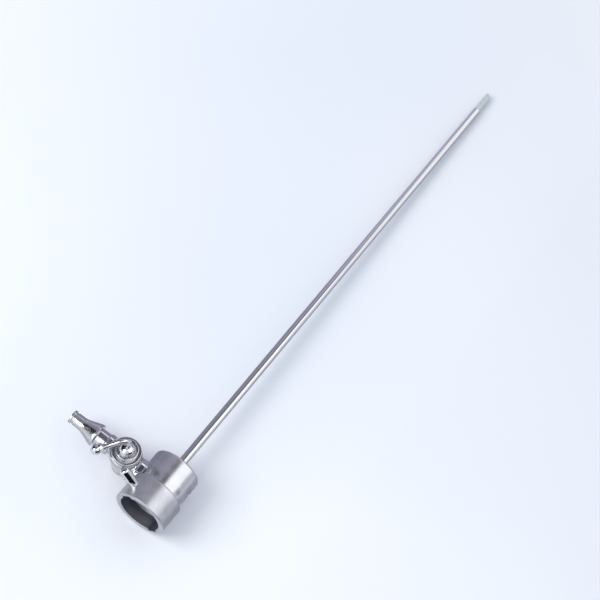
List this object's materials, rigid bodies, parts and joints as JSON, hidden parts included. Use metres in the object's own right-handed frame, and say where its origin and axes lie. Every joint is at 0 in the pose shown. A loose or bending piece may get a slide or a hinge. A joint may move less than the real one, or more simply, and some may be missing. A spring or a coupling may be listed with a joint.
{
  "type": "resectoscope sheath",
  "caption": "Slim straight endoscope sheath with an oblique beak, a bayonet hub with a guide pin, and a side stopcock with a swan-neck lever and a hose nozzle.",
  "frame": {"origin": "centre of the hub's rear mouth, on the sheath's axis", "axes": "+X along the sheath from the hub to the beak, +Y along the stopcock from the hub to the hose nozzle, +Z along the stopcock's plug towards its lever"},
  "size_m": [0.274, 0.0562, 0.0294],
  "materials": {
    "brushed_hub_steel": "fine brushed, lightly scratched",
    "satin_hub_steel": "satin",
    "bore_steel": "turned, dull",
    "drawn_tube_steel": "smooth drawn",
    "polished_body_steel": "soft polish",
    "mirror_steel": "mirror polish",
    "beak_ceramic": "smooth matt",
    "seal_ptfe": "smooth"
  },
  "bodies": {
    "sheath": {"bayonet_collar": "brushed_hub_steel", "hub_body": "satin_hub_steel", "cone_seat": "bore_steel", "tube_ferrule": "satin_hub_steel", "sheath_tube": "drawn_tube_steel", "insulating_beak": "beak_ceramic", "guide_pin": "mirror_steel", "hub_screw": "mirror_steel", "stem_ring": "mirror_steel", "stopcock_body": "polished_body_steel", "nozzle_nut": "polished_body_steel", "nozzle_seal": "seal_ptfe", "hose_nozzle": "polished_body_steel"},
    "plug": {"tapered_plug": "mirror_steel", "plug_cap": "mirror_steel", "lever_boss": "mirror_steel", "lever_arm": "mirror_steel", "lever_knob": "mirror_steel", "thrust_washer": "seal_ptfe", "plug_spring": "mirror_steel", "retaining_nut": "polished_body_steel"}
  },
  "joints": [
    {"name": "stopcock_turn", "type": "hinge", "parent": "sheath", "child": "plug", "pos_m": [0.0147, 0.0188, 0], "axis": [0, 0, 1], "range_deg": [-50, 40]}
  ]
}
